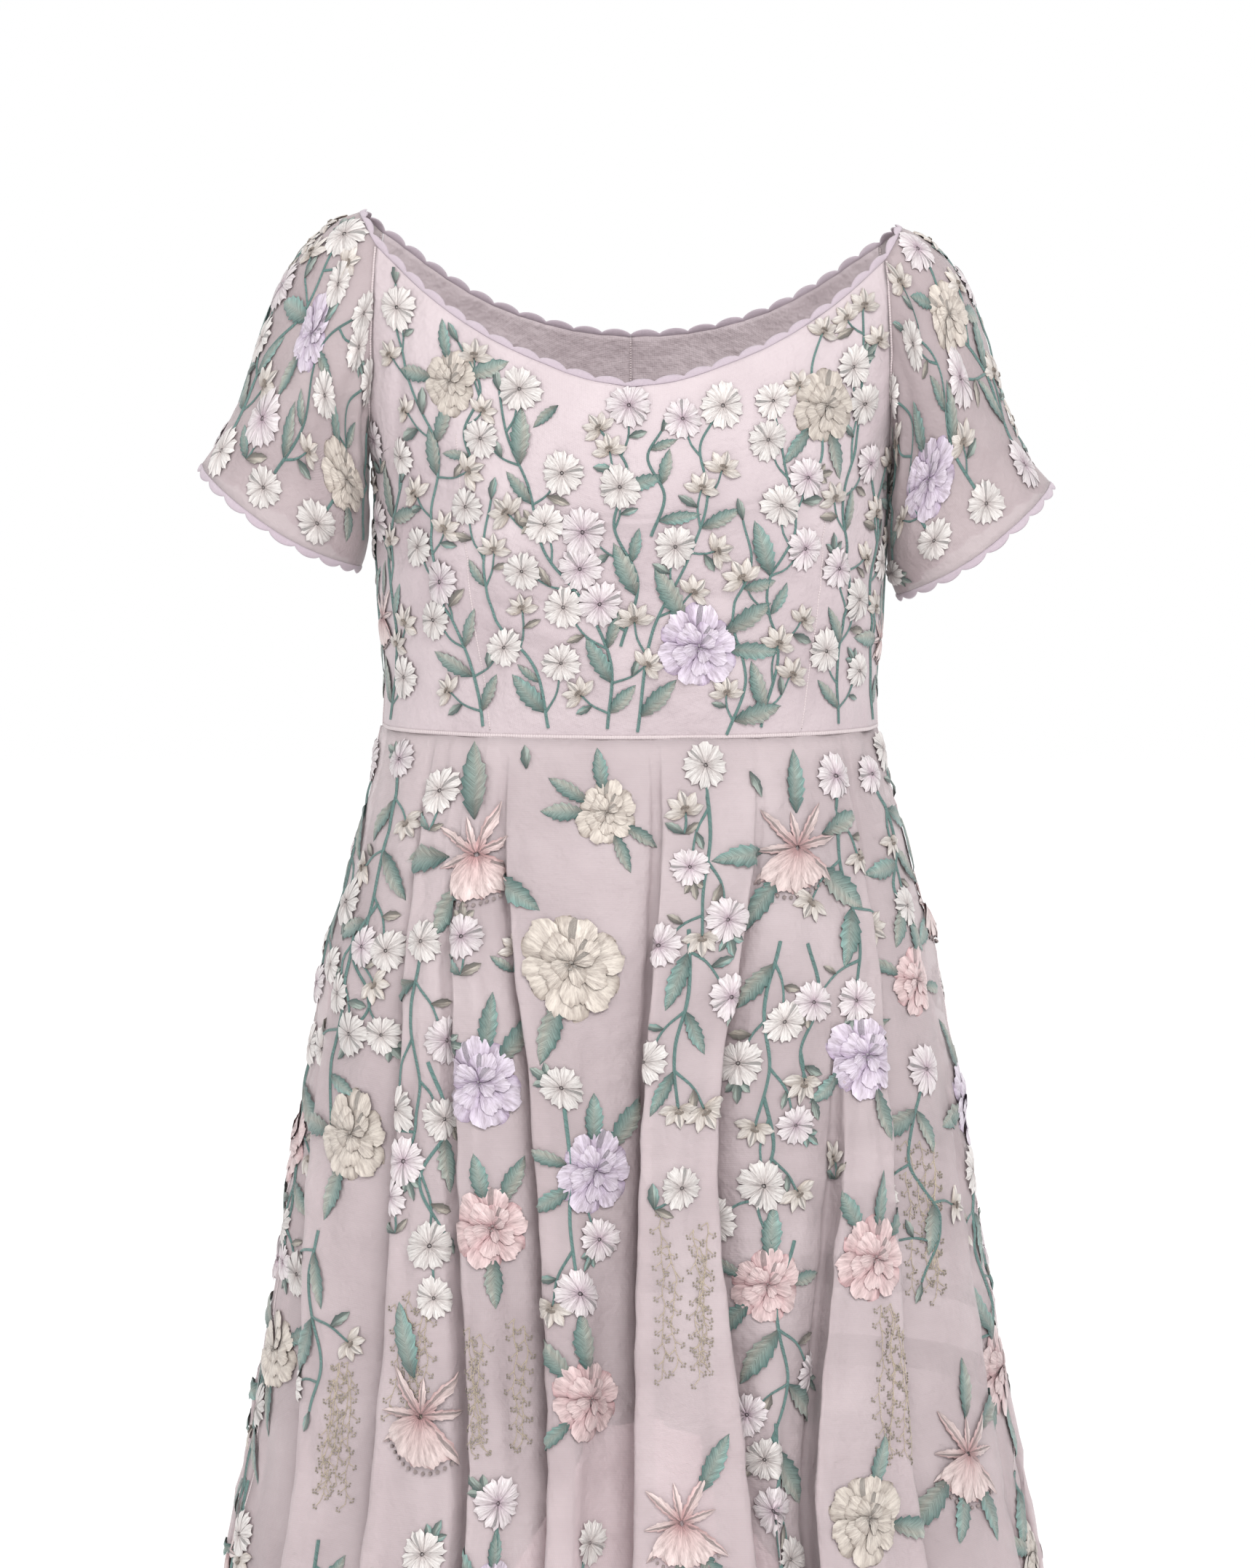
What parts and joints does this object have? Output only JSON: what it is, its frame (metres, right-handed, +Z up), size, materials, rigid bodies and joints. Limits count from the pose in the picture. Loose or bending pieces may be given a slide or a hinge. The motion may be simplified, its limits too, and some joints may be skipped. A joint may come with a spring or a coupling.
{
  "type": "high-low gown",
  "caption": "High-low gown in worn form: scoop neck, short flared sleeves, fitted bodice and a pleated sheer skirt over a lining, short at the front and long behind.",
  "frame": {"origin": "between the shoulders, level with the top of the wearer's right shoulder, where the gown is held up", "axes": "+Z up; the front of the gown faces -Y; the wearer's left is +X"},
  "size_m": [0.638, 0.562, 1.3997],
  "materials": {
    "embroidered_organza": "sheer, softly shining, with coloured embroidery",
    "skirt_lining": "smooth, softly shining",
    "satin_stitch": "satin-stitched thread"
  },
  "bodies": {
    "root": {"bodice_front": "embroidered_organza", "bodice_back_left": "embroidered_organza", "bodice_back_right": "embroidered_organza", "sleeve_left": "embroidered_organza", "sleeve_right": "embroidered_organza", "skirt_front": "embroidered_organza", "skirt_back_left": "embroidered_organza", "skirt_back_right": "embroidered_organza", "lining_front": "skirt_lining", "lining_back_left": "skirt_lining", "lining_back_right": "skirt_lining", "neckline_edging": "satin_stitch", "sleeve_edging_left": "satin_stitch", "sleeve_edging_right": "satin_stitch"}
  },
  "joints": []
}
